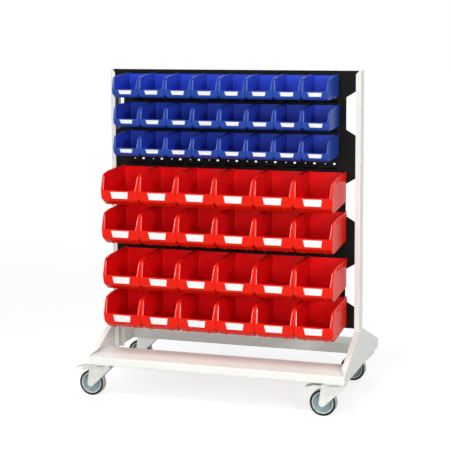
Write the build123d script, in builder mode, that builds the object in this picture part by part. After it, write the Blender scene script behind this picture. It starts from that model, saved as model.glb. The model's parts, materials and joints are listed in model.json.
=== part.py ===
from build123d import *
import os

# Mobile rack with two sheet-steel uprights, three louvred panels, hanging bins and a base on casters.
# X runs across the rack, Y towards its back, Z up. While the pieces are made, X = 0 is the rack's
# middle, Y = 0 the front face of its uprights and Z = 0 the floor.

# Overall sizes
rack_width = 1000.0
rack_height = 1255.0
base_front_reach = 248.0
base_rear_reach = 292.0
caster_height = 132.0

# Frame sheet, fits and fasteners
sheet = 2.0
seat_gap = 0.3
thread_gap = 0.05
overrun = 5.0
bend_radius = 2.5

# Uprights
upright_depth = 60.0
flange_width = 19.0
flange_corner_cut = 13.0

# Louvred panels
panel_count = 3
panel_pitch = 324.0
panel_joint_gap = 0.6
panel_sheet = 1.5
panel_overlap = 4.0
side_return = 36.0
edge_return = 15.0
window_inset = 55.0
window_drop = 158.0
window_inner_height = 120.0
window_outer_height = 166.5
window_corner_radius = 5.0

# Louvres
louvre_columns = 11
louvre_rows = 8
louvre_pitch_x = 76.6
louvre_pitch_z = 37.0
louvre_first_drop = 27.5
louvre_width = 55.0
louvre_height = 17.0
louvre_lip_height = 9.0
louvre_reach = 8.0
louvre_slot_cover = 1.5
louvre_end_cover = 4.0
louvre_peep_width = 9.0
louvre_peep_height = 6.0
louvre_slit_width = 4.0
louvre_slit_height = 3.0
louvre_peep_spacing = 34.6
louvre_peep_rise = 0.8

# Panel screws
screw_radius = 2.5
screw_head_radius = 4.6
screw_head_height = 2.6
screw_tip = 4.0
screw_edge_inset = 25.0
screw_setback = 30.0

# Base channels and gussets
channel_depth = 148.0
channel_face_height = 31.0
channel_crown_height = 38.0
channel_slope_depth = 47.0
gusset_top_height = 272.0
gusset_toe_height = 34.0
gusset_flange = 20.0
gusset_flange_clip = 16.0
gusset_bolt_radius = 3.0
gusset_bolt_head_radius = 5.6
gusset_bolt_head_height = 3.2
gusset_bolt_length = 12.0
gusset_bolt_inset = 36.0
gusset_upper_bolt_drop = 20.0

# Bins and their labels
hook_sheet = 2.2
hook_drop = 8.0
hook_rise = 14.8
rim_band = 4.5
rim_reach = 3.2
label_thickness = 0.6
bin_gap = 1.4

blue_per_row = 8
blue_pitch = 105.2
blue_depth = 172.0
blue_height = 89.0
blue_rear_height = 77.0
blue_wall = 2.0
blue_rim_bend = 105.0
blue_rim_drop = 5.0
blue_shoulder = 158.0
blue_shoulder_drop = 12.0
blue_lip_drop = 56.0
blue_lip_lean = 8.0
blue_toe_rise = 7.0
blue_toe_reach = 10.0
blue_corner_radius = 5.0
blue_label_width = 52.5
blue_label_height = 15.5
blue_label_taper = 4.0
blue_label_drop = 3.5
blue_rows = (0, 3, 6)
blue_row_shifts = (0.8, 4.3, 2.2)

red_per_row = 6
red_pitch = 149.4
red_depth = 238.0
red_height = 131.0
red_rear_height = 108.0
red_wall = 2.5
red_rim_bend = 170.0
red_rim_drop = 4.5
red_shoulder = 217.0
red_shoulder_drop = 13.0
red_lip_drop = 72.0
red_lip_lean = 8.0
red_toe_rise = 19.0
red_toe_reach = 30.0
red_corner_radius = 6.0
red_label_width = 71.5
red_label_height = 26.5
red_label_taper = 5.0
red_label_drop = 5.0
red_rows = (1, 5)
red_row_shifts = (4.6, 5.8, 8.0, 9.1)
red_rib_count = 4
red_rib_width = 2.5
red_rib_height = 24.0
red_nub_width = 3.0
red_nub_height = 2.0
red_nub_spacing = 82.0

# Casters
wheel_radius = 50.0
wheel_width = 34.0
tyre_thickness = 9.5
tyre_shoulder = 5.0
rim_width = 30.0
rim_thickness = 4.5
wheel_web = 7.0
hub_radius = 13.0
bush_wall = 3.0
axle_radius = 4.0
axle_nut_height = 5.0
axle_head_radius = 7.2
running_gap = 0.06
side_play = 0.5
wheel_clearance = 3.0
caster_trail = 48.0
caster_plate_width = 80.0
caster_plate_length = 100.0
caster_plate_thickness = 4.0
caster_plate_corner = 9.0
race_radius = 27.0
race_height = 7.0
fork_sheet = 3.0
fork_head_reach = 33.0
fork_head_depth = 8.0
fork_leg_pad = 1.2
fork_eye_radius = 13.0
fork_fold_reach = 20.0
kingpin_radius = 6.0
kingpin_head_radius = 11.0
kingpin_head_height = 3.0
caster_bolt_radius = 4.0
caster_bolt_head_radius = 6.5
caster_bolt_head_height = 4.5
caster_bolt_inset = 11.0
caster_nut_height = 6.5
caster_nut_radius = 7.5

# Brake pedals of the front casters
pedal_pivot_back = 34.0
pedal_pivot_height = 108.0
pedal_pin_radius = 2.5
pedal_sheet = 2.5
pedal_reach = 114.0
pedal_pad_length = 30.0
pedal_pad_drop = 8.0
pedal_pad_width = 44.0
pedal_body_width = 32.0
pedal_top_height = 115.0
pedal_cheek_height = 11.5
pedal_heel_height = 19.0
pedal_heel_length = 26.0

# Places that follow from these sizes
half_width = rack_width / 2
base_bottom = caster_height
base_front = -base_front_reach
base_rear = upright_depth + base_rear_reach
panel_front = sheet + seat_gap
tongue_front = panel_front - louvre_reach
tongue_back = tongue_front + panel_sheet
bin_back = tongue_front - seat_gap
panel_half_width = half_width - flange_width + panel_overlap
screw_length = half_width - panel_half_width + panel_sheet + screw_tip
panel_height = panel_pitch - panel_joint_gap
panel_tops = [rack_height - seat_gap - index * panel_pitch for index in range(panel_count)]
screw_drops = (screw_edge_inset, panel_height - screw_edge_inset)
screw_levels = [top - drop for top in panel_tops for drop in screw_drops]
sides = (1, -1)
pieces = {}


def lip_level(panel, row):
    """Height of the lip of one row of louvres."""
    return panel_tops[panel] - louvre_first_drop - row * louvre_pitch_z


def keep(name, part):
    """Give a finished piece its label and hold it for export."""
    part.label = name
    pieces[name] = part


# Uprights: folded channels that open towards each other, with clipped top corners
def make_upright(side):
    flange_middle = side * (half_width - flange_width / 2)
    flange_edge = side * (half_width - flange_width)
    with BuildPart() as upright:
        with BuildSketch(Plane.XY.offset(base_bottom)):
            with Locations((flange_middle, upright_depth / 2)):
                Rectangle(flange_width, upright_depth)
            with Locations((flange_middle - side * sheet, upright_depth / 2)):
                Rectangle(flange_width, upright_depth - 2 * sheet, mode=Mode.SUBTRACT)
        extrude(amount=rack_height - base_bottom)
        outer = upright.edges().filter_by(Axis.Z).sort_by(Axis.X)
        fillet(outer[-2:] if side > 0 else outer[:2], bend_radius)
        with BuildSketch(Plane.XZ.offset(overrun)):
            Polygon(
                (flange_edge, rack_height),
                (flange_edge + side * flange_corner_cut, rack_height),
                (flange_edge, rack_height - flange_corner_cut),
                align=None,
            )
        extrude(amount=-(upright_depth + 2 * overrun), mode=Mode.SUBTRACT)
        with BuildSketch(Plane.YZ.offset(side * (half_width - sheet - overrun))):
            with Locations(*[(screw_setback, level) for level in screw_levels]):
                Circle(screw_radius + seat_gap)
            with Locations(*upright_bolt_places()):
                Circle(gusset_bolt_radius + thread_gap)
        extrude(amount=side * (sheet + 2 * overrun), mode=Mode.SUBTRACT)
    return upright.part


def upright_bolt_places():
    return [
        (screw_setback, base_bottom + channel_face_height / 2),
        (screw_setback, gusset_top_height - gusset_upper_bolt_drop),
    ]


def channel_bolt_places():
    level = base_bottom + channel_face_height / 2
    return [
        (base_front + gusset_bolt_inset, level),
        (base_front + channel_depth - gusset_bolt_inset, level),
        (base_rear - channel_depth + gusset_bolt_inset, level),
        (base_rear - gusset_bolt_inset, level),
    ]


for side, name in zip(sides, ("upright_right", "upright_left")):
    keep(name, make_upright(side))

# Louvred panel: a shallow tray with rows of pressed tongues and a notch window at each end
panel_bottom = panel_tops[0] - panel_height
panel_middle = (panel_tops[0] + panel_bottom) / 2
louvre_middle = (lip_level(0, 0) + lip_level(0, louvre_rows - 1)) / 2
louvre_left = -(louvre_columns - 1) / 2 * louvre_pitch_x
louvre_places = [
    (louvre_left + column * louvre_pitch_x, 0, lip_level(0, row))
    for row in range(louvre_rows)
    for column in range(louvre_columns)
]

with BuildPart() as tongue:
    with BuildSketch(Plane.YZ.offset(-louvre_width / 2)):
        Polygon(
            (panel_front + panel_sheet, -louvre_height),
            (panel_front, -louvre_height),
            (tongue_front, -louvre_lip_height),
            (tongue_front, 0),
            (tongue_back, 0),
            (tongue_back, -louvre_lip_height + panel_sheet / 2),
            (panel_front + panel_sheet, -louvre_height + panel_sheet),
            align=None,
        )
    extrude(amount=louvre_width)

with BuildPart() as panel:
    with BuildSketch(Plane.XZ.offset(-panel_front - panel_sheet)):
        with Locations((0, panel_middle)):
            Rectangle(2 * panel_half_width, panel_height)
        for side in sides:
            window_edge = side * (half_width - window_inset)
            return_face = side * (panel_half_width - panel_sheet)
            window_level = panel_tops[0] - window_drop
            with BuildSketch(mode=Mode.PRIVATE) as window:
                Polygon(
                    (window_edge, window_level - window_inner_height / 2),
                    (window_edge, window_level + window_inner_height / 2),
                    (return_face, window_level + window_outer_height / 2),
                    (return_face, window_level - window_outer_height / 2),
                    align=None,
                )
                corners = window.vertices().sort_by(Axis.X)
                fillet(corners[:2] if side > 0 else corners[-2:], window_corner_radius)
            add(window.sketch, mode=Mode.SUBTRACT)
        with Locations((0, louvre_middle - louvre_slot_cover / 2 - louvre_height / 2)):
            with GridLocations(louvre_pitch_x, louvre_pitch_z, louvre_columns, louvre_rows):
                Rectangle(
                    louvre_width - 2 * louvre_end_cover,
                    louvre_height - louvre_slot_cover,
                    mode=Mode.SUBTRACT,
                )
        for step, peep_width, peep_height in (
            (-1, louvre_slit_width, louvre_slit_height),
            (1, louvre_peep_width, louvre_peep_height),
        ):
            peep_level = louvre_middle + louvre_peep_rise + louvre_peep_height / 2
            with Locations((step * louvre_peep_spacing / 2, peep_level)):
                with GridLocations(louvre_pitch_x, louvre_pitch_z, louvre_columns, louvre_rows):
                    Rectangle(peep_width, peep_height, mode=Mode.SUBTRACT)
    extrude(amount=panel_sheet)
    with BuildSketch(Plane.XY.offset(panel_bottom)):
        for side in sides:
            with Locations((side * (panel_half_width - panel_sheet / 2), panel_front + side_return / 2)):
                Rectangle(panel_sheet, side_return)
    extrude(amount=panel_height)
    with BuildSketch(Plane.YZ.offset(-panel_half_width)):
        for level in (panel_bottom + panel_sheet / 2, panel_tops[0] - panel_sheet / 2):
            with Locations((panel_front + edge_return / 2, level)):
                Rectangle(edge_return, panel_sheet)
    extrude(amount=2 * panel_half_width)
    with BuildSketch(Plane.YZ.offset(-half_width)):
        with Locations(*[(screw_setback, level) for level in screw_levels[:2]]):
            Circle(screw_radius + thread_gap)
    extrude(amount=rack_width, mode=Mode.SUBTRACT)
    with Locations(*louvre_places):
        add(tongue.part)

for index, name in enumerate(("panel_top", "panel_middle", "panel_bottom")):
    keep(name, panel.part.moved(Location((0, 0, -index * panel_pitch))))


# Gussets: side plates outside the uprights, flanged along both slopes
def make_gusset(side):
    outer_face = side * (half_width + sheet)
    top = gusset_top_height
    toe = base_bottom + gusset_toe_height
    front_top = (-seat_gap - sheet, top)
    rear_top = (upright_depth + seat_gap + sheet, top)
    slopes = [(front_top, (base_front, toe)), (rear_top, (base_rear, toe))]
    with BuildPart() as gusset:
        with BuildSketch(Plane.YZ.offset(outer_face)):
            Polygon(
                front_top, (base_front, toe), (base_front, base_bottom),
                (base_rear, base_bottom), (base_rear, toe), rear_top,
                align=None,
            )
        extrude(amount=-side * sheet)
        for high, low in slopes:
            run = Vector(*low) - Vector(*high)
            into = run.normalized().rotate(Axis.Z, 90 if run.X < 0 else -90) * sheet
            with BuildSketch(Plane.YZ.offset(outer_face)):
                Polygon(
                    high, low, (low[0] + into.X, low[1] + into.Y), (high[0] + into.X, high[1] + into.Y),
                    align=None,
                )
            extrude(amount=-side * gusset_flange)
        inner_face = outer_face - side * gusset_flange
        with BuildSketch(Plane.XZ.offset(-base_front + overrun)):
            Polygon(
                (inner_face, toe + gusset_flange_clip),
                (outer_face - side * sheet, toe),
                (outer_face - side * sheet, toe - 2 * sheet),
                (inner_face, toe - 2 * sheet),
                align=None,
            )
        extrude(amount=-(base_rear - base_front + 2 * overrun), mode=Mode.SUBTRACT)
        with BuildSketch(Plane.YZ.offset(outer_face + side * overrun)):
            with Locations(*upright_bolt_places(), *channel_bolt_places()):
                Circle(gusset_bolt_radius + seat_gap)
        extrude(amount=-side * (sheet + 2 * overrun), mode=Mode.SUBTRACT)
    return gusset.part


for side, name in zip(sides, ("gusset_right", "gusset_left")):
    keep(name, make_gusset(side))


# Base channels: closed sheet sections with end plates, their outer top edge sloped
def make_channel(front):
    toward = -1 if front else 1
    outer = base_front if front else base_rear
    inner = outer - toward * channel_depth
    slope_end = outer - toward * channel_slope_depth
    length = rack_width - 2 * seat_gap
    face_top = base_bottom + channel_face_height
    crown = base_bottom + channel_crown_height
    with BuildPart() as channel:
        with BuildSketch(Plane.YZ.offset(-length / 2)) as section:
            Polygon(
                (outer, base_bottom), (outer, face_top), (slope_end, crown),
                (inner, crown), (inner, base_bottom),
                align=None,
            )
        extrude(amount=length)
        fillet(channel.edges().filter_by(Axis.X), bend_radius)
        with BuildSketch(Plane.YZ.offset(-length / 2 + sheet)):
            add(section.sketch_local)
            offset(amount=-sheet, kind=Kind.INTERSECTION, mode=Mode.REPLACE)
        extrude(amount=length - 2 * sheet, mode=Mode.SUBTRACT)
        with BuildSketch(Plane.YZ.offset(-half_width)):
            with Locations(*(channel_bolt_places()[:2] if front else channel_bolt_places()[2:])):
                Circle(gusset_bolt_radius + thread_gap)
        extrude(amount=rack_width, mode=Mode.SUBTRACT)
        with BuildSketch(Plane.XY.offset(base_bottom - overrun)):
            with Locations(*[place for place in caster_bolt_places() if (place[1] < 0) == front]):
                Circle(caster_bolt_radius + seat_gap)
        extrude(amount=sheet + 2 * overrun, mode=Mode.SUBTRACT)
    return channel.part


caster_middle_x = half_width - caster_plate_width / 2
caster_front_y = base_front + caster_plate_length / 2
caster_rear_y = base_rear - caster_plate_length / 2
caster_places = {
    "front_left": (-caster_middle_x, caster_front_y),
    "front_right": (caster_middle_x, caster_front_y),
    "rear_left": (-caster_middle_x, caster_rear_y),
    "rear_right": (caster_middle_x, caster_rear_y),
}


def caster_bolt_places():
    across = caster_plate_width / 2 - caster_bolt_inset
    along = caster_plate_length / 2 - caster_bolt_inset
    return [
        (x + across * step_x, y + along * step_y)
        for x, y in caster_places.values()
        for step_x in sides
        for step_y in sides
    ]


keep("base_front_channel", make_channel(True))
keep("base_rear_channel", make_channel(False))


# Fasteners: each kind is one group of separate screws
def make_side_fasteners(places, seat, shank, length, head, height):
    """Domed screws through both sides, heads seated on the plane x = seat."""
    with BuildPart() as group:
        for side in sides:
            with BuildSketch(Plane.YZ.offset(side * seat)):
                with Locations(*places):
                    Circle(head)
            extrude(amount=side * height)
            with BuildSketch(Plane.YZ.offset(side * seat)):
                with Locations(*places):
                    Circle(shank)
            extrude(amount=-side * length)
        rims = group.edges().filter_by(GeomType.CIRCLE).sort_by(Axis.X)
        count = len(places)
        fillet(rims[:count] + rims[-count:], height / 2)
    return group.part


screw_places = [(screw_setback, level) for level in screw_levels]
bolt_places = upright_bolt_places() + channel_bolt_places()
keep("panel_screws", make_side_fasteners(
    screw_places, half_width, screw_radius, screw_length, screw_head_radius, screw_head_height))
keep("gusset_bolts", make_side_fasteners(
    bolt_places, half_width + sheet, gusset_bolt_radius, gusset_bolt_length,
    gusset_bolt_head_radius, gusset_bolt_head_height))


# Bins: moulded open-front trays with an overhanging rim, hung by a full-width hook
def make_bin(width, depth, height, rear_height, wall, rim_bend, rim_drop, shoulder, shoulder_drop,
             lip_drop, lip_lean, toe_rise, toe_reach, corner_radius):
    body_width = width - 2 * rim_reach
    lip_front = -depth
    face_foot = lip_front + lip_lean
    outline = [
        (0, 0),
        (-rim_bend, -rim_drop),
        (-shoulder, -shoulder_drop),
        (lip_front, -lip_drop),
        (face_foot, -height + toe_rise),
        (face_foot + toe_reach, -height),
        (-2 * corner_radius, -rear_height - corner_radius),
        (0, -rear_height),
    ]
    with BuildPart() as tray:
        with BuildSketch(Plane.YZ.offset(-body_width / 2)) as profile:
            Polygon(*outline, align=None)
            shoulders = [corner for corner in profile.vertices() if abs(corner.X + shoulder) < wall]
            fillet(shoulders, shoulder_drop)
        extrude(amount=body_width)
        lower = [edge for edge in tray.edges().filter_by(Axis.X) if edge.center().Z < -rear_height + wall]
        fillet(lower, corner_radius / 2)
        open_faces = [face for face in tray.faces() if face.normal_at().Z > rim_drop / depth / 2]
        offset(amount=-wall, openings=open_faces)
        for side in sides:
            with BuildSketch(Plane.YZ.offset(side * (body_width / 2 - wall / 2))):
                add(profile.sketch_local)
                with Locations((rim_band, -rim_band)):
                    add(profile.sketch_local, mode=Mode.SUBTRACT)
            extrude(amount=side * (rim_reach + wall / 2))
        hook_top = -hook_rise + seat_gap + hook_sheet
        hook_back = seat_gap + panel_sheet + seat_gap + hook_sheet
        with BuildSketch(Plane.YZ.offset(-body_width / 2)):
            Polygon(
                (-wall / 2, hook_top),
                (hook_back, hook_top),
                (hook_back, -hook_rise - hook_drop),
                (hook_back - hook_sheet, -hook_rise - hook_drop),
                (hook_back - hook_sheet, hook_top - hook_sheet),
                (-wall / 2, hook_top - hook_sheet),
                align=None,
            )
        extrude(amount=body_width)
    return tray.part, outline


def make_label(outline, width, height, taper, drop):
    """Tapered card on the sloping front face, its top edge below the lip."""
    top, foot = Vector(0, *outline[3]), Vector(0, *outline[4])
    down = (foot - top).normalized()
    across = Vector(1, 0, 0)
    face = Plane(origin=top + down * (drop + height / 2), x_dir=across, z_dir=across.cross(-down))
    with BuildPart() as label:
        with BuildSketch(face):
            Polygon(
                (-width / 2, height / 2),
                (width / 2, height / 2),
                (width / 2 - taper, -height / 2),
                (-width / 2 + taper, -height / 2),
                align=None,
            )
        extrude(amount=label_thickness)
    return label.part


blue_bin, blue_outline = make_bin(
    blue_pitch - bin_gap, blue_depth, blue_height, blue_rear_height, blue_wall,
    blue_rim_bend, blue_rim_drop, blue_shoulder, blue_shoulder_drop,
    blue_lip_drop, blue_lip_lean, blue_toe_rise, blue_toe_reach, blue_corner_radius)
blue_label = make_label(
    blue_outline, blue_label_width, blue_label_height, blue_label_taper, blue_label_drop)

red_tray, red_outline = make_bin(
    red_pitch - bin_gap, red_depth, red_height, red_rear_height, red_wall,
    red_rim_bend, red_rim_drop, red_shoulder, red_shoulder_drop,
    red_lip_drop, red_lip_lean, red_toe_rise, red_toe_reach, red_corner_radius)
red_label = make_label(red_outline, red_label_width, red_label_height, red_label_taper, red_label_drop)

# The red bins also have ribs under the side rims and two nubs below the front
red_side = red_pitch / 2 - bin_gap / 2 - rim_reach
rib_step = red_rim_bend / red_rib_count
with BuildPart() as red_bin:
    add(red_tray)
    for side in sides:
        for index in range(red_rib_count):
            rib_place = (
                side * (red_side + rim_reach / 2 - red_wall / 4),
                -(index + 1) * rib_step + rib_step / 2,
                -rim_band - red_rib_height / 2,
            )
            with Locations(rib_place):
                Box(rim_reach + red_wall / 2, red_rib_width, red_rib_height)
        with BuildSketch(Plane.YZ.offset(side * red_nub_spacing / 2 - red_nub_width / 2)):
            Polygon(
                red_outline[4],
                red_outline[5],
                (red_outline[5][0], -red_height - red_nub_height),
                (red_outline[4][0], -red_height + red_toe_rise - 2 * red_nub_height),
                align=None,
            )
        extrude(amount=red_nub_width)


def hang_row(part, count, pitch, lip, shift):
    """Copies of a bin or label side by side, hooked over the louvre lips at one height."""
    first = shift - (count - 1) / 2 * pitch
    with BuildPart() as row:
        with Locations(*[(first + index * pitch, bin_back, lip + hook_rise) for index in range(count)]):
            add(part)
    return row.part


for index, louvre_row in enumerate(blue_rows):
    place = (blue_per_row, blue_pitch, lip_level(0, louvre_row), blue_row_shifts[index])
    keep(f"blue_bins_{index + 1}", hang_row(blue_bin, *place))
    keep(f"blue_labels_{index + 1}", hang_row(blue_label, *place))

for index, shift in enumerate(red_row_shifts):
    louvre_row = red_rows[index % len(red_rows)]
    panel_index = panel_count - len(red_rows) + index // len(red_rows)
    place = (red_per_row, red_pitch, lip_level(panel_index, louvre_row), shift)
    keep(f"red_bins_{index + 1}", hang_row(red_bin.part, *place))
    keep(f"red_labels_{index + 1}", hang_row(red_label, *place))

# Casters, made with the swivel axis at x = y = 0 and the wheel trailing towards -X
plate_bottom = caster_height - caster_plate_thickness
crown_top = plate_bottom - race_height - seat_gap
crown_bottom = crown_top - fork_sheet
leg_inside = wheel_width / 2 + wheel_clearance
leg_outside = leg_inside + fork_sheet
hub_width = 2 * (leg_inside - side_play)
bush_radius = axle_radius + running_gap + bush_wall
rim_radius = wheel_radius - tyre_thickness - thread_gap
axle_axis = Axis((-caster_trail, 0, wheel_radius), (0, 1, 0))
pedal_pivot = (-pedal_pivot_back, pedal_pivot_height)

bolt_spread_x = caster_plate_width - 2 * caster_bolt_inset
bolt_spread_y = caster_plate_length - 2 * caster_bolt_inset
with BuildPart() as top_plate:
    with BuildSketch(Plane.XY.offset(plate_bottom)):
        RectangleRounded(caster_plate_width, caster_plate_length, caster_plate_corner)
        with GridLocations(bolt_spread_x, bolt_spread_y, 2, 2):
            Circle(caster_bolt_radius + seat_gap, mode=Mode.SUBTRACT)
    extrude(amount=caster_plate_thickness)
    with BuildSketch(Plane.XY.offset(plate_bottom)):
        Circle(race_radius)
    extrude(amount=-race_height)
    fillet(top_plate.faces().sort_by(Axis.Z)[0].edges(), race_height / 3)
    with BuildSketch(Plane.XY.offset(caster_height)):
        Circle(kingpin_radius + thread_gap)
    extrude(amount=-caster_height, mode=Mode.SUBTRACT)

with BuildPart() as kingpin:
    with BuildSketch(Plane.XY.offset(caster_height - seat_gap)):
        Circle(kingpin_radius)
    extrude(amount=-(caster_height - crown_bottom))
    with BuildSketch(Plane.XY.offset(crown_bottom - seat_gap)):
        Circle(kingpin_head_radius)
    extrude(amount=-kingpin_head_height)
    fillet(kingpin.faces().sort_by(Axis.Z)[0].edges(), kingpin_head_height / 2)


def make_fork(braked):
    head_width = fork_head_reach + caster_trail + fork_eye_radius / 4
    head_middle = (fork_head_reach - caster_trail - fork_eye_radius / 4) / 2
    fold_middle = -caster_trail + fork_fold_reach / 2 - fork_eye_radius / 8
    with BuildPart() as fork:
        with BuildSketch(Plane.XY.offset(crown_bottom)):
            with Locations((head_middle, 0)):
                Rectangle(head_width, 2 * leg_outside)
            Circle(fork_head_reach)
        extrude(amount=fork_sheet)
        with BuildSketch(Plane.XZ.offset(leg_inside)):
            with Locations((-caster_trail, wheel_radius)):
                Circle(fork_eye_radius)
            with Locations((head_middle, crown_top - fork_head_depth / 2)):
                Rectangle(head_width, fork_head_depth)
            make_hull()
        extrude(amount=fork_sheet)
        with BuildSketch(Plane.XZ.offset(leg_inside)):
            with Locations((-caster_trail, wheel_radius)):
                Circle(fork_eye_radius)
            with Locations((fold_middle, crown_bottom - fork_sheet)):
                Rectangle(fork_fold_reach, fork_sheet)
            make_hull()
        extrude(amount=fork_sheet + fork_leg_pad)
        mirror(about=Plane.XZ)
        with BuildSketch(Plane.XZ.offset(-leg_outside - overrun)):
            with Locations((-caster_trail, wheel_radius)):
                Circle(axle_radius + running_gap)
            if braked:
                with Locations(pedal_pivot):
                    Circle(pedal_pin_radius + running_gap)
        extrude(amount=2 * (leg_outside + overrun), mode=Mode.SUBTRACT)
        with BuildSketch(Plane.XY.offset(crown_bottom - overrun)):
            Circle(kingpin_radius + running_gap)
        extrude(amount=fork_sheet + 2 * overrun, mode=Mode.SUBTRACT)
    return fork.part


with BuildPart() as tyre:
    with BuildSketch(Plane.YZ.offset(-caster_trail)) as tread:
        with Locations((0, 2 * wheel_radius - tyre_thickness / 2)):
            Rectangle(wheel_width, tyre_thickness)
        fillet(tread.vertices().sort_by(Axis.Y)[-2:], tyre_shoulder)
    revolve(axis=axle_axis)

with BuildPart() as wheel_core:
    with BuildSketch(Plane.YZ.offset(-caster_trail)) as dish:
        with Locations((0, wheel_radius + rim_radius - rim_thickness / 2)):
            Rectangle(rim_width, rim_thickness)
        with Locations((0, wheel_radius + (rim_radius + bush_radius) / 2)):
            Rectangle(wheel_web, rim_radius - bush_radius - rim_thickness)
        with Locations((0, wheel_radius + (hub_radius + bush_radius + thread_gap) / 2)):
            Rectangle(hub_width, hub_radius - bush_radius - thread_gap)
    revolve(axis=axle_axis)

with BuildPart() as bush:
    with BuildSketch(Plane.YZ.offset(-caster_trail)):
        with Locations((0, wheel_radius + bush_radius - bush_wall / 2)):
            Rectangle(hub_width, bush_wall)
    revolve(axis=axle_axis)

pad_face = leg_outside + fork_leg_pad
with BuildPart() as axle:
    with BuildSketch(Plane.XZ.offset(pad_face)):
        with Locations((-caster_trail, wheel_radius)):
            RegularPolygon(axle_head_radius, 6)
    extrude(amount=axle_nut_height)
    with BuildSketch(Plane.XZ.offset(pad_face)):
        with Locations((-caster_trail, wheel_radius)):
            Circle(axle_radius)
    extrude(amount=-(2 * pad_face + axle_nut_height + axle_radius / 2))
    with BuildSketch(Plane.XZ.offset(-pad_face)):
        with Locations((-caster_trail, wheel_radius)):
            RegularPolygon(axle_head_radius, 6)
            Circle(axle_radius + thread_gap, mode=Mode.SUBTRACT)
    extrude(amount=-axle_nut_height)

# Brake pedal: a bent lever between the fork legs, over the wheel, ending in a foot pad
pedal_heel = -pedal_reach + pedal_pad_length
pedal_nose = -pedal_pivot_back + pedal_top_height - pedal_pivot_height
with BuildPart() as pedal:
    with BuildSketch(Plane.XZ.offset(pedal_body_width / 2)):
        Polygon(
            (pedal_nose, pedal_top_height),
            (pedal_nose, pedal_top_height - pedal_cheek_height),
            (pedal_heel + pedal_heel_length, pedal_top_height - pedal_cheek_height),
            (pedal_heel + pedal_sheet, pedal_top_height - pedal_heel_height),
            (pedal_heel - pedal_sheet, pedal_top_height - pedal_heel_height + pedal_sheet),
            (pedal_heel, pedal_top_height),
            align=None,
        )
    extrude(amount=-pedal_body_width)
    with BuildSketch(Plane.XY.offset(pedal_top_height - pedal_sheet)):
        with Locations((-pedal_reach / 2, 0)):
            Rectangle(pedal_reach, pedal_body_width - 2 * pedal_sheet)
    extrude(amount=-pedal_heel_height, mode=Mode.SUBTRACT)
    with BuildSketch(Plane.XZ.offset(pedal_pad_width / 2)):
        Polygon(
            (pedal_heel, pedal_top_height),
            (pedal_heel, pedal_top_height - pedal_sheet),
            (-pedal_reach, pedal_top_height - pedal_pad_drop - pedal_sheet),
            (-pedal_reach, pedal_top_height - pedal_pad_drop),
            align=None,
        )
    extrude(amount=-pedal_pad_width)
    fillet(pedal.edges().filter_by(Axis.Z).sort_by(Axis.X)[:2], pedal_pad_length / 4)
    with BuildSketch(Plane.XZ.offset(pedal_body_width)):
        with Locations(pedal_pivot):
            Circle(pedal_pin_radius + running_gap)
    extrude(amount=-2 * pedal_body_width, mode=Mode.SUBTRACT)

with BuildPart() as pedal_pin:
    with BuildSketch(Plane.XZ.offset(leg_outside)):
        with Locations(pedal_pivot):
            Circle(pedal_pin_radius)
    extrude(amount=-2 * leg_outside)

for corner, (x, y) in caster_places.items():
    braked = corner.startswith("front")
    spot = Location((x, y, 0))
    keep(f"top_plate_{corner}", top_plate.part.moved(spot))
    keep(f"kingpin_{corner}", kingpin.part.moved(spot))
    keep(f"fork_{corner}", make_fork(braked).moved(spot))
    keep(f"axle_{corner}", axle.part.moved(spot))
    keep(f"bush_{corner}", bush.part.moved(spot))
    keep(f"wheel_core_{corner}", wheel_core.part.moved(spot))
    keep(f"tyre_{corner}", tyre.part.moved(spot))
    if braked:
        keep(f"brake_pedal_{corner}", pedal.part.moved(spot))
        keep(f"pedal_pin_{corner}", pedal_pin.part.moved(spot))

with BuildPart() as caster_fasteners:
    bolt_seat = plate_bottom
    with BuildSketch(Plane.XY.offset(bolt_seat)):
        with Locations(*caster_bolt_places()):
            RegularPolygon(caster_bolt_head_radius, 6)
    extrude(amount=-caster_bolt_head_height)
    with BuildSketch(Plane.XY.offset(bolt_seat)):
        with Locations(*caster_bolt_places()):
            Circle(caster_bolt_radius)
    extrude(amount=caster_plate_thickness + sheet + caster_nut_height + caster_bolt_radius / 2)
    with BuildSketch(Plane.XY.offset(base_bottom + sheet)):
        with Locations(*caster_bolt_places()):
            RegularPolygon(caster_nut_radius, 6)
            Circle(caster_bolt_radius + thread_gap, mode=Mode.SUBTRACT)
    extrude(amount=caster_nut_height)
keep("caster_fasteners", caster_fasteners.part)

# The finished cart stands on the floor with its origin at the middle of its box
box = Compound(children=[Compound(part.wrapped) for part in pieces.values()]).bounding_box()
to_origin = Location((-(box.min.X + box.max.X) / 2, -(box.min.Y + box.max.Y) / 2, -box.min.Z))

os.makedirs("parts", exist_ok=True)
for name, part in pieces.items():
    placed = part.moved(to_origin)
    placed.label = name
    export_step(placed, f"parts/{name}.step")
print("pieces", len(pieces), "box", box.min, box.max)
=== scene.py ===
import bmesh
import bpy
import json
import math
from mathutils import Matrix, Vector


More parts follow.
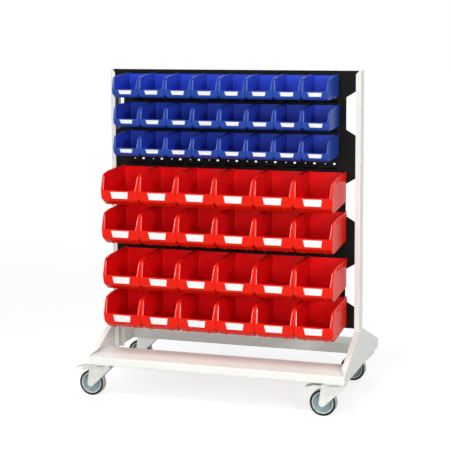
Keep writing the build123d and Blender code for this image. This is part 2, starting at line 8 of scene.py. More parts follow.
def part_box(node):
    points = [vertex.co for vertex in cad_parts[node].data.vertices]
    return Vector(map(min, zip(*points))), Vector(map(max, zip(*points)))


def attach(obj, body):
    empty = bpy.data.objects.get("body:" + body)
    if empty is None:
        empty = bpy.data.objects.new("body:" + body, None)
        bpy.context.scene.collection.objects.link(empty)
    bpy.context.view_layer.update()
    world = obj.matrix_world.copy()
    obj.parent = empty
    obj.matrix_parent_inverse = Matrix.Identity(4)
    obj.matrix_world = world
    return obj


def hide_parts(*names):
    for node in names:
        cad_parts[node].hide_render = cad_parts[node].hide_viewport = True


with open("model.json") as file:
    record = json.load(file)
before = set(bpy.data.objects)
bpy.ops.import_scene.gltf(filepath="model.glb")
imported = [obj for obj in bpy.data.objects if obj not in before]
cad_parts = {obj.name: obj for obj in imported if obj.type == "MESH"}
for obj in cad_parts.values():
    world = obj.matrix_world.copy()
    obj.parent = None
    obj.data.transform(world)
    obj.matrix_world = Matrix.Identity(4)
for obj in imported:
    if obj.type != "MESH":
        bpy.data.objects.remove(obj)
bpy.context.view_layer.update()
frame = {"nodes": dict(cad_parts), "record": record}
bothSides = (1, -1)  # right and left
origin = (0, 0, 0)


# Small helpers for working in object and edit mode; all lengths are in metres

touching = 0.0001  # places nearer than this count as one
square = 0.99  # a face whose normal has this much of an axis lies square to it
tilted = 0.1  # and with this much of it the face is turned that way at all
edgeSteps = 2  # faces across a rounded edge


def leaveEditMode():
    if bpy.context.mode != "OBJECT":
        bpy.ops.object.mode_set(mode="OBJECT")


def activate(piece):
    leaveEditMode()
    bpy.ops.object.select_all(action="DESELECT")
    piece.select_set(True)
    bpy.context.view_layer.objects.active = piece


def startSelecting(piece, kind):
    bpy.ops.mesh.select_mode(type=kind)
    bpy.ops.mesh.select_all(action="DESELECT")
    return bmesh.from_edit_mesh(piece.data)


def selectFaces(piece, test):
    # test gets each face's middle and normal, in edit mode
    for face in startSelecting(piece, "FACE").faces:
        face.select_set(bool(test(face.calc_center_median(), face.normal)))
    bmesh.update_edit_mesh(piece.data)


def selectEdges(piece, test):
    # test gets the two ends of each edge, in edit mode
    for edge in startSelecting(piece, "EDGE").edges:
        edge.select_set(bool(test(edge.verts[0].co, edge.verts[1].co)))
    bmesh.update_edit_mesh(piece.data)


def keepVertices(piece, test):
    # Of the selected vertices, keeps those whose place passes the test
    bpy.ops.mesh.select_mode(type="VERT")
    bpy.ops.object.mode_set(mode="OBJECT")
    kept = [vertex.select and test(vertex.co) for vertex in piece.data.vertices]
    for part in (piece.data.edges, piece.data.polygons):
        part.foreach_set("select", [False] * len(part))
    piece.data.vertices.foreach_set("select", kept)
    bpy.ops.object.mode_set(mode="EDIT")


def startBox(low, high, name="block"):
    # A box between two corners, left in edit mode with all of it selected
    leaveEditMode()
    bpy.ops.object.select_all(action="DESELECT")
    low, high = Vector(low), Vector(high)
    bpy.ops.mesh.primitive_cube_add(size=1, location=(low + high) / 2, scale=high - low)
    bpy.ops.object.transform_apply(location=True, rotation=True, scale=True)
    block = bpy.context.object
    block.name = name
    bpy.ops.object.mode_set(mode="EDIT")
    return block


def cutAway(point, normal):
    # Cuts all of the mesh by a plane and closes the cut; what lies on the normal's side goes
    bpy.ops.mesh.select_all(action="SELECT")
    bpy.ops.mesh.bisect(plane_co=point, plane_no=normal, use_fill=True, clear_outer=True)


def pull(move):
    bpy.ops.mesh.extrude_region_move(TRANSFORM_OT_translate={"value": move})


def joinPieces(pieces, name):
    activate(pieces[0])
    for piece in pieces[1:]:
        piece.select_set(True)
    bpy.ops.object.join()
    joined = bpy.context.object
    joined.name = name
    return joined


def addEdgeRounds(piece, width, angle):
    rounds = piece.modifiers.new("rolled edges", "BEVEL")
    rounds.width = width
    rounds.segments = edgeSteps
    rounds.limit_method = "ANGLE"
    rounds.angle_limit = math.radians(angle)
    return rounds


def addFlatShading(piece):
    flat = piece.modifiers.new("flat faces", "WEIGHTED_NORMAL")
    flat.keep_sharp = True
    return flat


def finishPiece(piece, softness, angle):
    # Rounds the edges, where softness isn't 0, and shades the piece smooth between them
    activate(piece)
    if softness:
        bpy.ops.object.modifier_apply(modifier=addEdgeRounds(piece, softness, angle).name)
    bpy.ops.object.shade_smooth_by_angle(angle=math.radians(angle))
    bpy.ops.object.modifier_apply(modifier=addFlatShading(piece).name)


def fitCopy(model, name, place, body, node=None):
    # A copy of a model, moved to its place, on its body and in the stead of a plain node
    activate(model)
    bpy.ops.object.duplicate()
    fitted = bpy.context.object
    fitted.name = name
    bpy.ops.transform.translate(value=place)
    bpy.ops.object.transform_apply(location=True, rotation=False, scale=False)
    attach(fitted, body)
    if node:
        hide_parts(node)


# Camera, at the photograph's angle; its turn, rise and roll are in degrees

cameraValues = {
    "aim": (0.005, -0.052, 0.8323),
    "turn": 18.1,
    "rise": 7.0,
    "roll": -0.27,
    "distance": 5.0536,
    "lensMm": 105.13,
    "sensorMm": 36,
    "shiftUp": -0.1,
    "farthest": 100,
}


def placeCamera(values):
    turn, rise, roll = (math.radians(values[key]) for key in ("turn", "rise", "roll"))
    level = math.cos(rise)
    back = Vector((math.sin(turn) * level, -math.cos(turn) * level, math.sin(rise)))
    aimed = (Matrix.Rotation(turn, 3, "Z") @ Matrix.Rotation(math.pi / 2 - rise, 3, "X")
             @ Matrix.Rotation(roll, 3, "Z"))
    bpy.ops.object.camera_add(
        location=Vector(values["aim"]) + back * values["distance"], rotation=aimed.to_euler())
    camera = bpy.context.object
    camera.data.lens = values["lensMm"]
    camera.data.sensor_width = values["sensorMm"]
    camera.data.shift_y = values["shiftUp"]
    camera.data.clip_end = values["farthest"]
    bpy.context.scene.camera = camera


placeCamera(cameraValues)
print("camera placed")


# Light and floor: a white studio with soft lamps. A lamp without an aim or a spread of its own
# takes the shared one. The floor's glow grows with the distance from the object, over floorFade.

studioValues = {
    "skyLevel": 0.47,
    "floorColour": (0.42, 0.42, 0.42),
    "floorGlow": (0.7, 0.88),
    "floorFade": (1.5, 9),
    "floorSize": 60,
    "lamps": [
        {"name": "frontLamp", "place": (0.8, -5.6, 1.2), "size": 1.8, "watts": 82},
        {"name": "highLamp", "place": (-0.3, -3.6, 4.6), "size": 2.6, "watts": 22},
        {"name": "shelfLamp", "place": (-0.2, -2.7, 4.3), "size": 1.5, "watts": 5,
         "aim": (0, -0.25, 0.12), "spread": 40},
        {"name": "rightLamp", "place": (4.3, -4.2, 2.3), "size": 1.2, "watts": 120},
        {"name": "leftLamp", "place": (-4.6, -3.4, 2.9), "size": 1, "watts": 27},
        {"name": "backLamp", "place": (3, 4.6, 3.6), "size": 3.5, "watts": 50},
    ],
    "lampAim": (0, 0, 0.6),
    "lampSpread": 180,
}


def cameraSeesIt(nodes, links):
    # 1 for rays from the camera and for what gloss and glass show, else 0
    path = nodes.new("ShaderNodeLightPath")
    seen = path.outputs["Is Camera Ray"]
    for other in ("Is Glossy Ray", "Is Transmission Ray"):
        larger = nodes.new("ShaderNodeMath")
        larger.operation = "MAXIMUM"
        links.new(seen, larger.inputs[0])
        links.new(path.outputs[other], larger.inputs[1])
        seen = larger.outputs[0]
    return seen


def mapRange(nodes, links, value, fromSpan, toSpan):
    mapped = nodes.new("ShaderNodeMapRange")
    for end, (least, most) in (("From", fromSpan), ("To", toSpan)):
        mapped.inputs[end + " Min"].default_value = least
        mapped.inputs[end + " Max"].default_value = most
    links.new(value, mapped.inputs["Value"])
    return mapped.outputs["Result"]


def lightStudio(values):
    world = bpy.data.worlds.new("studio")
    bpy.context.scene.world = world
    world.use_nodes = True
    nodes, links = world.node_tree.nodes, world.node_tree.links
    nodes.clear()
    sky, shown = nodes.new("ShaderNodeBackground"), nodes.new("ShaderNodeBackground")
    sky.inputs["Strength"].default_value = values["skyLevel"]
    for light in (sky, shown):
        light.inputs["Color"].default_value = (1, 1, 1, 1)
    mixed, out = nodes.new("ShaderNodeMixShader"), nodes.new("ShaderNodeOutputWorld")
    sources = (cameraSeesIt(nodes, links), sky.outputs[0], shown.outputs[0])
    for socket, source in zip(mixed.inputs, sources):
        links.new(source, socket)
    links.new(mixed.outputs[0], out.inputs["Surface"])
    for lamp in values["lamps"]:
        facing = Vector(lamp.get("aim", values["lampAim"])) - Vector(lamp["place"])
        bpy.ops.object.light_add(type="AREA", location=lamp["place"],
                                 rotation=facing.to_track_quat("-Z", "Y").to_euler())
        light = bpy.context.object
        light.name = lamp["name"]
        light.data.size = lamp["size"]
        light.data.energy = lamp["watts"]
        light.data.spread = math.radians(lamp.get("spread", values["lampSpread"]))


def layFloor(values):
    bpy.ops.object.select_all(action="DESELECT")
    bpy.ops.mesh.primitive_plane_add(size=values["floorSize"], location=origin)
    floor = bpy.context.object
    floor.name = "floor"
    paper = bpy.data.materials.new("studioFloor")
    paper.use_nodes = True
    nodes, links = paper.node_tree.nodes, paper.node_tree.links
    nodes.clear()
    matt, glow = nodes.new("ShaderNodeBsdfDiffuse"), nodes.new("ShaderNodeEmission")
    matt.inputs["Color"].default_value = (*values["floorColour"], 1)
    distance, level = nodes.new("ShaderNodeVectorMath"), nodes.new("ShaderNodeMath")
    distance.operation = "LENGTH"
    links.new(nodes.new("ShaderNodeTexCoord").outputs["Object"], distance.inputs[0])
    faded = mapRange(nodes, links, distance.outputs["Value"],
                     values["floorFade"], values["floorGlow"])
    level.operation = "MULTIPLY"
    links.new(cameraSeesIt(nodes, links), level.inputs[0])
    links.new(faded, level.inputs[1])
    links.new(level.outputs[0], glow.inputs["Strength"])
    both, out = nodes.new("ShaderNodeAddShader"), nodes.new("ShaderNodeOutputMaterial")
    links.new(matt.outputs[0], both.inputs[0])
    links.new(glow.outputs[0], both.inputs[1])
    links.new(both.outputs[0], out.inputs["Surface"])
    floor.data.materials.append(paper)


lightStudio(studioValues)
layFloor(studioValues)
bpy.context.scene.view_settings.view_transform = "Standard"
print("studio lit")


# Surfaces: each wanders between two shades, with its own gloss, grain and, on some, rubbed marks.
# The defaults hold for every surface that doesn't give its own. The gloss of a face that is seen
# nearly edge on fades over the span edgeOn, to the share edgeGloss.

surfaceDefaults = {
    "metal": 0, "refraction": 1.5, "specular": 0.5, "edgeOn": (0.72, 0.88), "edgeGloss": 0.5,
    "noiseSpan": (0.3, 0.7), "detail": 2, "fineDetail": 3,
    "grainStretch": None, "marks": None, "markFade": 0.08,
}


def madeSurface(name, own):
    values = {**surfaceDefaults, **own}
    surface = bpy.data.materials.new(name)
    surface.use_nodes = True
    nodes, links = surface.node_tree.nodes, surface.node_tree.links
    shader = nodes["Principled BSDF"]
    shader.inputs["Metallic"].default_value = values["metal"]
    shader.inputs["IOR"].default_value = values["refraction"]
    place = nodes.new("ShaderNodeTexCoord").outputs["Object"]

    def noise(scale, detail, stretch=None):
        texture = nodes.new("ShaderNodeTexNoise")
        texture.inputs["Scale"].default_value = scale
        texture.inputs["Detail"].default_value = detail
        source = place
        if stretch:
            mapping = nodes.new("ShaderNodeMapping")
            mapping.inputs["Scale"].default_value = stretch
            links.new(place, mapping.inputs["Vector"])
            source = mapping.outputs["Vector"]
        links.new(source, texture.inputs["Vector"])
        return texture.outputs["Fac"]

    def blendShades(value, span, shades):
        ramp = nodes.new("ShaderNodeValToRGB")
        for stop, position, shade in zip(ramp.color_ramp.elements, span, shades):
            stop.position = position
            stop.color = (*shade, 1)
        links.new(value, ramp.inputs["Fac"])
        return ramp.outputs["Color"]

    patches = noise(values["patches"], values["detail"])
    colour = blendShades(patches, values["noiseSpan"], values["shades"])
    marks = values["marks"]
    if marks:
        rubbed = noise(marks["scale"], values["fineDetail"], marks["stretch"])
        mask = blendShades(rubbed, (marks["from"], marks["from"] + values["markFade"]),
                           ((0, 0, 0), (marks["most"],) * 3))
        mixed = nodes.new("ShaderNodeMix")
        mixed.data_type = "RGBA"  # sockets 6 and 7 take its two colours, and output 2 gives the mix
        links.new(mask, mixed.inputs[0])
        links.new(colour, mixed.inputs[6])
        mixed.inputs[7].default_value = (*marks["shade"], 1)
        colour = mixed.outputs[2]
    links.new(colour, shader.inputs["Base Color"])

    facing = nodes.new("ShaderNodeLayerWeight").outputs["Facing"]
    faded = (values["specular"], values["specular"] * values["edgeGloss"])
    shine = mapRange(nodes, links, facing, values["edgeOn"], faded)
    links.new(shine, shader.inputs["Specular IOR Level"])

    glossPatches = noise(values["glossPatches"], values["detail"])
    gloss = mapRange(nodes, links, glossPatches, values["noiseSpan"], values["roughness"])
    links.new(gloss, shader.inputs["Roughness"])

    bump = nodes.new("ShaderNodeBump")
    bump.inputs["Strength"].default_value = values["grainStrength"]
    bump.inputs["Distance"].default_value = values["grainHeight"]
    grain = noise(values["grain"], values["fineDetail"], values["grainStretch"])
    links.new(grain, bump.inputs["Height"])
    links.new(bump.outputs["Normal"], shader.inputs["Normal"])
    return surface


framePaint = madeSurface("framePaint", {
    "shades": ((0.845, 0.86, 0.815), (0.81, 0.825, 0.775)), "patches": 2.3,
    "roughness": (0.4, 0.52), "glossPatches": 30,
    "grain": 900, "grainStrength": 0.12, "grainHeight": 0.0003,
    "marks": {"scale": 9, "stretch": (1, 1, 6), "from": 0.68, "most": 0.35,
              "shade": (0.74, 0.73, 0.7)},
})
panelPaint = madeSurface("panelPaint", {
    "shades": ((0.004, 0.004, 0.0042), (0.007, 0.007, 0.0073)), "patches": 3,
    "specular": 0.08, "roughness": (0.42, 0.55), "glossPatches": 25,
    "grain": 800, "grainStrength": 0.15, "grainHeight": 0.0003,
    "marks": {"scale": 14, "stretch": (1, 1, 5), "from": 0.7, "most": 0.25,
              "shade": (0.04, 0.04, 0.04)},
})

# The bins' plastic: scuffed outside; clean inside, in a brighter, deeper copy that is painted light
# for the light the lamps don't bring into the bins; shinier on the wings' rounded edges, where a
# lighter shade is a painted highlight
binFinish = {
    "patches": 12, "edgeGloss": 0.12, "glossPatches": 35,
    "grain": 1600, "grainStrength": 0.025, "grainHeight": 0.00012,
}
binScuffs = {"scale": 16, "stretch": (1, 0.4, 3), "from": 0.7, "most": 0.2}
binEdgeHighlight = {**binFinish, "specular": 1, "edgeGloss": 0.3, "grainStrength": 0.1}

bluePlastic = madeSurface("bluePlastic", {
    **binFinish, "shades": ((0.015, 0.062, 0.38), (0.012, 0.052, 0.34)),
    "specular": 0.22, "roughness": (0.29, 0.33), "marks": {**binScuffs, "shade": (0.06, 0.13, 0.5)},
})
redPlastic = madeSurface("redPlastic", {
    **binFinish, "shades": ((0.84, 0.014, 0.002), (0.78, 0.011, 0.002)),
    "specular": 0.16, "roughness": (0.27, 0.31), "marks": {**binScuffs, "shade": (0.9, 0.08, 0.04)},
})
# Inside copies: brighter, the red one also deeper, as painted light inside the bins, where the
# lamps bring too little
blueInsidePaintedLight = madeSurface("blueInsidePaintedLight", {
    **binFinish, "shades": ((0.022, 0.062, 0.56), (0.018, 0.052, 0.5)),
    "specular": 0.22, "roughness": (0.29, 0.33),
})
redInsidePaintedLight = madeSurface("redInsidePaintedLight", {
    **binFinish, "shades": ((0.88, 0.006, 0.008), (0.82, 0.005, 0.008)),
    "specular": 0.14, "roughness": (0.27, 0.31),
})
# Edge copies for the wings' rounded edges: glossier, to catch the lamps, and lighter in shade as a
# painted highlight
blueEdgeHighlight = madeSurface("blueEdgeHighlight", {
    **binEdgeHighlight, "shades": ((0.018, 0.085, 0.42), (0.015, 0.07, 0.38)),
    "refraction": 1.9, "roughness": (0.12, 0.18),
})
redEdgeHighlight = madeSurface("redEdgeHighlight", {
    **binEdgeHighlight, "shades": ((0.86, 0.022, 0.003), (0.8, 0.018, 0.003)),
    "refraction": 2.1, "roughness": (0.1, 0.16),
})

labelCard = madeSurface("labelCard", {
    "shades": ((0.9, 0.9, 0.89), (0.87, 0.87, 0.86)), "patches": 60,
    "roughness": (0.6, 0.75), "glossPatches": 90,
    "grain": 1500, "grainStretch": (1, 1, 4), "grainStrength": 0.15, "grainHeight": 0.0001,
})
zincPlate = madeSurface("zincPlate", {
    "shades": ((0.72, 0.73, 0.67), (0.62, 0.64, 0.6)), "patches": 45, "metal": 0.75,
    "roughness": (0.34, 0.5), "glossPatches": 120,
    "grain": 500, "grainStretch": (1, 1, 3), "grainStrength": 0.1, "grainHeight": 0.0002,
})
wheelPlastic = madeSurface("wheelPlastic", {
    "shades": ((0.26, 0.345, 0.375), (0.22, 0.3, 0.33)), "patches": 50,
    "roughness": (0.35, 0.5), "glossPatches": 80,
    "grain": 1200, "grainStrength": 0.15, "grainHeight": 0.0002,
})
# The pale ring along the wheel rim's edge: a painted highlight
rimHighlightPlastic = madeSurface("rimHighlightPlastic", {
    "shades": ((0.64, 0.7, 0.68), (0.57, 0.63, 0.61)), "patches": 60,
    "roughness": (0.3, 0.42), "glossPatches": 80,
    "grain": 1200, "grainStrength": 0.12, "grainHeight": 0.0002,
})
tyreRubber = madeSurface("tyreRubber", {
    "shades": ((0.008, 0.01, 0.01), (0.014, 0.016, 0.016)), "patches": 70, "specular": 0.3,
    "roughness": (0.45, 0.65), "glossPatches": 90,
    "grain": 900, "grainStrength": 0.3, "grainHeight": 0.0003,
})
tyreTread = madeSurface("tyreTread", {
    "shades": ((0.5, 0.47, 0.42), (0.4, 0.38, 0.345)), "patches": 90,
    "roughness": (0.6, 0.8), "glossPatches": 110,
    "grain": 700, "grainStrength": 0.35, "grainHeight": 0.0004,
})
# Dark plastic of the bushes, also used as painted shade on the dark rings under the top plates
bushAndShadePlastic = madeSurface("bushAndShadePlastic", {
    "shades": ((0.05, 0.05, 0.052), (0.035, 0.035, 0.037)), "patches": 80,
    "roughness": (0.4, 0.55), "glossPatches": 100,
    "grain": 1200, "grainStrength": 0.2, "grainHeight": 0.0002,
})
surfaces = {
    "frame_paint": framePaint,
    "panel_paint": panelPaint,
    "blue_plastic": bluePlastic,
    "red_plastic": redPlastic,
    "label_card": labelCard,
    "zinc_plate": zincPlate,
    "wheel_plastic": wheelPlastic,
    "bush_plastic": bushAndShadePlastic,
    "tyre_rubber": tyreRubber,
}


def everywhere(middle, normal):
    return True


def paintFaces(piece, paints):
    # One material per (material, test) pair; a test gets each face's middle and normal
    activate(piece)
    piece.data.materials.clear()
    for place, (material, test) in enumerate(paints):
        piece.data.materials.append(material)
        bpy.ops.object.mode_set(mode="EDIT")
        selectFaces(piece, test)
        piece.active_material_index = place
        bpy.ops.object.material_slot_assign()
        bpy.ops.object.mode_set(mode="OBJECT")


for entry in frame["record"]["subparts"]:
    for slot in frame["nodes"][entry["node"]].material_slots:
        slot.material = surfaces[entry["material_slot"]]
print("surfaces made")


# Bins: trays with a rounded shoulder, an overhanging rim, wings beside the opening and a hook
# behind. An outline runs from the top of the rear wall over the rim, down the front and back
# along the floor, as (Y, Z) pairs from the top of the rear wall.

blueBin = {
    "name": "blue_bin", "count": 8,
    "rows": ("blue_bins_1", "blue_bins_2", "blue_bins_3"),
    "slot": "blue_plastic", "inside": blueInsidePaintedLight, "edge": blueEdgeHighlight,
    "outline": [(0, 0), (-0.105, -0.005), (-0.158, -0.012), (-0.172, -0.056),
                (-0.164, -0.082), (-0.154, -0.089), (-0.01, -0.082), (0, -0.077)],
    "width": 0.1038, "wall": 0.002, "rimReach": 0.0032, "rimBand": 0.0045,
    "shoulderRound": 0.0076, "cornerRound": 0.004,
    "wingTop": 0.0008, "wingFoot": 0.0035, "wingRound": 0.0019,
    "labelWidth": 0.0525, "labelHeight": 0.0155, "labelTaper": 0.004, "labelDrop": 0.0035,
    "ribs": 0, "nubSpacing": 0, "softness": 0.0006,
}
redBin = {
    "name": "red_bin", "count": 6,
    "rows": ("red_bins_1", "red_bins_2", "red_bins_3", "red_bins_4"),
    "slot": "red_plastic", "inside": redInsidePaintedLight, "edge": redEdgeHighlight,
    "outline": [(0, 0), (-0.17, -0.0045), (-0.217, -0.013), (-0.238, -0.072),
                (-0.23, -0.112), (-0.2, -0.131), (-0.012, -0.114), (0, -0.108)],
    "width": 0.148, "wall": 0.0025, "rimReach": 0.0032, "rimBand": 0.0045,
    "shoulderRound": 0.0075, "cornerRound": 0.005,
    "wingTop": 0.0015, "wingFoot": 0.006, "wingRound": 0.0024,
    "labelWidth": 0.0715, "labelHeight": 0.0265, "labelTaper": 0.005, "labelDrop": 0.005,
    "ribs": 4, "ribHeight": 0.024, "nubSpacing": 0.082, "nubHeight": 0.002, "softness": 0.0007,
}


def outwards(start, end):
    # The unit normal of one stretch of an outline, as (Y, Z)
    normal = Vector((end[1] - start[1], start[0] - end[0]))
    return normal.normalized()


def outlinePlace(point):
    return Vector((point.y, point.z))


# The tray. The rim's inset folds over at the foot of the rear wall, within foldDepth and
# foldHeight, and its points there are merged.
binTray = {
    "shoulderSteps": 5, "cornerSteps": 3, "bandShare": 0.75,
    "foldDepth": 0.013, "foldHeight": 0.008,
}


def modelTray(values, half):
    outline, wall = values["outline"], values["wall"]
    depth, height = -min(y for y, z in outline), -min(z for y, z in outline)
    tray = startBox((-half, -depth, -height), (half, 0, 0), values["name"])
    for start, end in zip(outline, outline[1:]):
        normal = outwards(start, end)
        cutAway((0, *start), (0, normal.x, normal.y))

    shoulder, foot = Vector(outline[2]), outline[4]

    def atShoulder(end):
        return (outlinePlace(end) - shoulder).length < touching

    def isLow(end):
        return end.z < foot[1] + touching

    def isRear(end):
        return end.y > -touching

    selectEdges(tray, lambda start, end: atShoulder(start) and atShoulder(end))
    bpy.ops.mesh.bevel(
        offset=values["shoulderRound"], segments=binTray["shoulderSteps"], affect="EDGES")
    selectEdges(tray, lambda start, end: min(abs(start.x), abs(end.x)) > half - touching
                and any(test(start) and test(end) for test in (isLow, isRear)))
    bpy.ops.mesh.bevel(
        offset=values["cornerRound"], segments=binTray["cornerSteps"], affect="EDGES")
    selectFaces(tray, lambda middle, normal: normal.z > tilted)
    bpy.ops.mesh.delete(type="FACE")  # the open top

    activate(tray)
    thick = tray.modifiers.new("wall", "SOLIDIFY")
    thick.thickness, thick.offset, thick.use_even_offset = wall, -1, True
    bpy.ops.object.modifier_apply(modifier=thick.name)

    # The rim: a band along the top and front of each side, pulled outwards
    stretches = list(zip(outline, outline[1:5]))
    bandDepth = binTray["bandShare"] * values["rimBand"]

    def onSide(side, middle, normal):
        return side * normal.x > square and side * middle.x > half - wall / 2

    def onBand(middle):
        return any((outlinePlace(middle) - Vector(start)).dot(outwards(start, end)) > -bandDepth
                   for start, end in stretches)

    def atFold(point):
        return point.y > -binTray["foldDepth"] and point.z < outline[-1][1] + binTray["foldHeight"]

    bpy.ops.object.mode_set(mode="EDIT")
    for side in bothSides:
        selectFaces(tray, lambda middle, normal: onSide(side, middle, normal))
        bpy.ops.mesh.inset(thickness=values["rimBand"], depth=0, use_even_offset=True)
        keepVertices(tray, atFold)
        bpy.ops.mesh.merge(type="CENTER")
        selectFaces(tray, lambda middle, normal: onSide(side, middle, normal) and onBand(middle))
        pull((side * values["rimReach"], 0, 0))
    bpy.ops.object.mode_set(mode="OBJECT")
    room = Vector((0, -depth / 2, -height / 3))  # a point that the inner faces look at
    # The inner faces take the inside copy, whose brighter shade is painted light inside the bins
    paintFaces(tray, [
        (surfaces[values["slot"]], everywhere),
        (values["inside"], lambda middle, normal: normal.dot(room - middle) > 0),
    ])
    return tray


# The wings: each runs on behind the shoulder by a number of wall thicknesses
binWing = {"wallsBehind": 3, "roundSteps": 3, "longEdge": 0.01}


def modelWing(values, half, side):
    # A tapered wing along one edge of the sloping opening, widest at the lip
    shoulder, lip, foot = values["outline"][2:5]
    wall = values["wall"]
    inner = half - wall
    opening, front = outwards(shoulder, lip), outwards(lip, foot)
    ends = sorted((side * (inner - values["wingFoot"]), side * (half - wall / 2)))
    behind = shoulder[0] + binWing["wallsBehind"] * wall
    wing = startBox((ends[0], lip[0], lip[1] - wall / 2),
                    (ends[1], behind, shoulder[1] - values["shoulderRound"]))
    cutAway((0, *lip), (0, opening.x, opening.y))
    cutAway((0, lip[0] - opening.x * wall, lip[1] - opening.y * wall), (0, -opening.x, -opening.y))
    cutAway((0, *lip), (0, front.x, front.y))
    top = Vector((side * (inner - values["wingTop"]), *shoulder))
    low = Vector((side * (inner - values["wingFoot"]), *lip))
    across = (low - top).cross(Vector((0, opening.x, opening.y)))
    cutAway(top, across if across.x * side < 0 else -across)

    # Its inner front edge is well rounded
    def onFrontEdge(point):
        return (abs((outlinePlace(point) - Vector(lip)).dot(opening)) < touching
                and side * point.x < inner - values["wingTop"] / 2)

    selectEdges(wing, lambda start, end: onFrontEdge(start) and onFrontEdge(end)
                and abs(start.z - end.z) > binWing["longEdge"])
    bpy.ops.mesh.bevel(offset=values["wingRound"], segments=binWing["roundSteps"], affect="EDGES")
    # The rounded edge faces take the edge copy, whose lighter shade is a painted highlight
    paintFaces(wing, [
        (surfaces[values["slot"]], everywhere),
        (values["edge"], lambda middle, normal: tilted < -side * normal.x < square
         and normal.y < -tilted),
    ])
    return wing


# The hook, in heights from the top of the rear wall
binHook = {"sheet": 0.0022, "reach": 0.0043, "top": -0.0123, "foot": -0.0228}


def modelHook(values, half):
    # A full-width strip that reaches back over the louvre lips and down behind them
    under, inner = binHook["top"] - binHook["sheet"], binHook["reach"] - binHook["sheet"]
    hook = startBox((-half, -values["wall"] / 2, under), (half, binHook["reach"], binHook["top"]))
    bpy.ops.mesh.bisect(plane_co=(0, inner, 0), plane_no=(0, 1, 0))
    selectFaces(hook, lambda middle, normal: normal.z < -square and middle.y > inner)
    pull((0, 0, binHook["foot"] - under))
    bpy.ops.object.mode_set(mode="OBJECT")
    return hook


# The label's holder: its rim, how far that stands proud, and how deep it sits in the wall
labelHolder = {"rim": 0.0011, "proud": 0.0009, "sunk": 0.001}


def modelLabelHolder(values):
    # A low frame round the label on the sloping front
    lip, foot = values["outline"][3:5]
    down = (Vector(foot) - Vector(lip)).normalized()
    rim, proud = labelHolder["rim"], labelHolder["proud"]
    wide, high = values["labelWidth"] / 2 + rim, values["labelHeight"] / 2 + rim
    holder = startBox((-wide, -proud, -high), (wide, labelHolder["sunk"], high))
    for side in bothSides:
        cutAway((side * wide, 0, high), (side * 2 * high, 0, -values["labelTaper"]))
    selectFaces(holder, lambda middle, normal: normal.y < -square)
    bpy.ops.mesh.inset(thickness=rim, depth=0, use_even_offset=True)
    pull((0, proud, 0))
    bpy.ops.object.mode_set(mode="OBJECT")
    middle = Vector(lip) + down * (values["labelDrop"] + values["labelHeight"] / 2)
    holder.rotation_euler = (math.atan2(down.x, -down.y), 0, 0)
    holder.location = (0, middle.x, middle.y)
    activate(holder)
    bpy.ops.object.transform_apply(location=True, rotation=True, scale=False)
    return holder


# The ribs under the rim of the large bins, as shares of its reach and its band
binRib = {"thick": 0.0024, "reachShare": 0.8, "bandShare": 0.8}


def modelRib(values, half, side, middle):
    ends = sorted((side * (half - values["wall"] / 2),
                   side * (half + values["rimReach"] * binRib["reachShare"])))
    rib = startBox(
        (ends[0], middle - binRib["thick"] / 2, -values["rimBand"] - values["ribHeight"]),
        (ends[1], middle + binRib["thick"] / 2, -values["rimBand"] * binRib["bandShare"]))
    bpy.ops.object.mode_set(mode="OBJECT")
    return rib


# The nubs below the front of the large bins, twice as wide as they are thick
binNub = {"thick": 0.0015}


def modelNub(values, place):
    # A small foot below the front, sloped like the toe
    foot, toe = values["outline"][4:6]
    slope = outwards(foot, toe)
    thick, height = binNub["thick"], values["nubHeight"]
    nub = startBox((place - thick, foot[0], toe[1] - height),
                   (place + thick, toe[0], foot[1]))
    cutAway((0, foot[0], foot[1] - 2 * height), (0, slope.x, slope.y))
    cutAway((0, foot[0] - slope.x * thick, foot[1] - slope.y * thick), (0, -slope.x, -slope.y))
    bpy.ops.object.mode_set(mode="OBJECT")
    return nub


binAngle = 35  # degrees; edges sharper than this are rounded


def modelBin(values):
    half = values["width"] / 2 - values["rimReach"]
    parts = [modelTray(values, half), modelHook(values, half), modelLabelHolder(values)]
    for side in bothSides:
        parts.append(modelWing(values, half, side))
        for index in range(values["ribs"]):
            middle = values["outline"][1][0] / values["ribs"] * (index + 0.5)
            parts.append(modelRib(values, half, side, middle))
        if values["nubSpacing"]:
            parts.append(modelNub(values, side * values["nubSpacing"] / 2))
    for part in parts:
        if not part.data.materials:
            part.data.materials.append(surfaces[values["slot"]])
    model = joinPieces(parts, values["name"])
    finishPiece(model, values["softness"], binAngle)
    return model


def hangBins(values):
    # Copies of one bin along each row, where the frame's rows are
    model = modelBin(values)
    for row, node in enumerate(values["rows"], 1):
        low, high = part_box(node)
        step = (high.x - low.x - values["width"]) / (values["count"] - 1)
        for index in range(values["count"]):
            place = (low.x + values["width"] / 2 + index * step,
                     high.y - binHook["reach"], high.z)
            fitCopy(model, f"{values['name']}_{row}_{index + 1}", place,
                    node.replace("bins", "row"), node)
    bpy.data.objects.remove(model)


hangBins(blueBin)
hangBins(redBin)
print("bins hung")


# Wheels of the casters, and dark rings that are painted shade in the gap under each top plate:
# profiles of (along the axle, outwards) pairs from the middle.
# The tread is what lies within treadWithin of the wheel's middle and outwards of treadStart, and
# the pale rim, a painted highlight along the rim's edge, what lies beyond rimBeyond and outwards of
# rimStart.

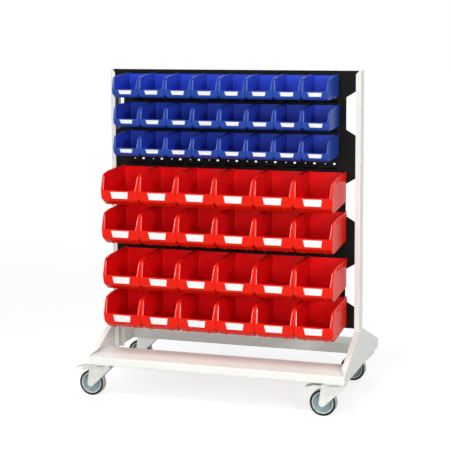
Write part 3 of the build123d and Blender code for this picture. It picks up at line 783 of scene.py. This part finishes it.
wheelValues = {
    "corners": ("front_left", "front_right", "rear_left", "rear_right"),
    "steps": 72, "weld": 0.00002, "smoothAngle": 40,
    "tyre": [(0.015, 0.0405), (0.0164, 0.0409), (0.017, 0.0422), (0.017, 0.0446),
             (0.0164, 0.0468), (0.0151, 0.0486), (0.0132, 0.0497), (0.0108, 0.05)],
    "treadWithin": 0.0145, "treadStart": 0.045,
    "core": [(0.0148, 0.0403), (0.0164, 0.04), (0.0168, 0.039), (0.0164, 0.0376),
             (0.015, 0.0366), (0.0122, 0.036), (0.0108, 0.0348), (0.008, 0.0325),
             (0.0062, 0.0285), (0.0052, 0.024), (0.0056, 0.0185), (0.0072, 0.0158),
             (0.0168, 0.0134), (0.0188, 0.0128), (0.0195, 0.0118), (0.0195, 0.0074)],
    "rimBeyond": 0.0152, "rimStart": 0.036,
    "shadowRing": [(-0.0012, 0.0274), (-0.0012, 0.0312), (-0.0024, 0.0322),
             (-0.0056, 0.0322), (-0.0066, 0.0312), (-0.0066, 0.0274)],
    "shadowRingDrop": 0.004,
}


def mirrored(profile):
    # The profile with its mirror image across the wheel's middle
    return profile + [(-along, out) for along, out in reversed(profile)]


def turnProfile(name, profile, values):
    # Turns a profile about the axle, which runs along Y
    bpy.ops.object.select_all(action="DESELECT")
    bpy.ops.mesh.primitive_plane_add(location=origin)
    turned = bpy.context.object
    turned.name = name
    bpy.ops.object.mode_set(mode="EDIT")
    bpy.ops.mesh.select_mode(type="VERT")
    bpy.ops.mesh.select_all(action="SELECT")
    bpy.ops.mesh.merge(type="CENTER")  # one point is left, to draw the profile with
    bpy.ops.transform.translate(value=(0, *profile[0]))
    for (along, out), (nextAlong, nextOut) in zip(profile, profile[1:]):
        pull((0, nextAlong - along, nextOut - out))
    bpy.ops.mesh.select_all(action="SELECT")
    bpy.ops.mesh.edge_face_add()  # closes the profile, whose face then goes
    bpy.ops.mesh.delete(type="ONLY_FACE")
    bpy.ops.mesh.select_all(action="SELECT")
    bpy.ops.mesh.spin(steps=values["steps"], angle=2 * math.pi,
                      center=origin, axis=(0, 1, 0), use_auto_merge=True)
    bpy.ops.mesh.select_all(action="SELECT")
    bpy.ops.mesh.remove_doubles(threshold=values["weld"])
    bpy.ops.mesh.normals_make_consistent(inside=False)
    bpy.ops.object.mode_set(mode="OBJECT")
    return turned


def fitWheels(values):
    tyre = turnProfile("tyre_model", mirrored(values["tyre"]), values)
    core = turnProfile("core_model", mirrored(values["core"]), values)
    # A dark ring, put in the gap under the top plate as painted shade
    shadowRing = turnProfile("shadow_ring_model", values["shadowRing"], values)
    shadowRing.rotation_euler = (math.pi / 2, 0, 0)  # it lies flat under the top plate
    activate(shadowRing)
    bpy.ops.object.transform_apply(location=False, rotation=True, scale=False)
    models = (tyre, core, shadowRing)
    for model in models:
        finishPiece(model, 0, values["smoothAngle"])

    def onTread(middle, normal):
        return (abs(middle.y) < values["treadWithin"]
                and math.hypot(middle.x, middle.z) > values["treadStart"])

    def onRimHighlight(middle, normal):
        return (abs(middle.y) > values["rimBeyond"]
                and math.hypot(middle.x, middle.z) > values["rimStart"])

    paintFaces(tyre, [(tyreRubber, everywhere), (tyreTread, onTread)])
    # The pale ring on the rim is a painted highlight
    paintFaces(core, [(wheelPlastic, everywhere), (rimHighlightPlastic, onRimHighlight)])
    paintFaces(shadowRing, [(bushAndShadePlastic, everywhere)])
    for corner in values["corners"]:
        low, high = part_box("tyre_" + corner)
        middle, wheel = (low + high) / 2, "wheel_" + corner
        fitCopy(tyre, "rubber_tyre_" + corner, middle,
                wheel, "tyre_" + corner)
        fitCopy(core, "dished_wheel_" + corner, middle,
                wheel, "wheel_core_" + corner)
        low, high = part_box("top_plate_" + corner)
        under = ((low.x + high.x) / 2, (low.y + high.y) / 2, high.z - values["shadowRingDrop"])
        # Under each top plate a dark ring: painted shade in the gap there
        fitCopy(shadowRing, "shadow_ring_" + corner, under, "rack")
    for model in models:
        bpy.data.objects.remove(model)


fitWheels(wheelValues)
print("wheels fitted")


# Steel pieces and fasteners of the frame: the nodes' own shapes, with their edges rolled a little.
# Each roll holds for the node of that name and for those whose names begin with it.

edgeValues = {
    "weld": 0.00001,
    "angle": 40,
    "rolls": {
        "base": 0.0009, "top_plate": 0.0006, "fork": 0.0007, "brake_pedal": 0.0007,
        "axle": 0.0006, "kingpin": 0.0005, "gusset_bolts": 0.0005, "panel_screws": 0.0004,
        "caster_fasteners": 0.0005, "pedal_pin": 0.0003,
    },
}


def rollEdges(values):
    for name, node in frame["nodes"].items():
        for start, roll in values["rolls"].items():
            if name == start or name.startswith(start + "_"):
                weld = node.modifiers.new("weld", "WELD")
                weld.merge_threshold = values["weld"]
                addEdgeRounds(node, roll, values["angle"])
                addFlatShading(node)


rollEdges(edgeValues)
print("edges rolled")
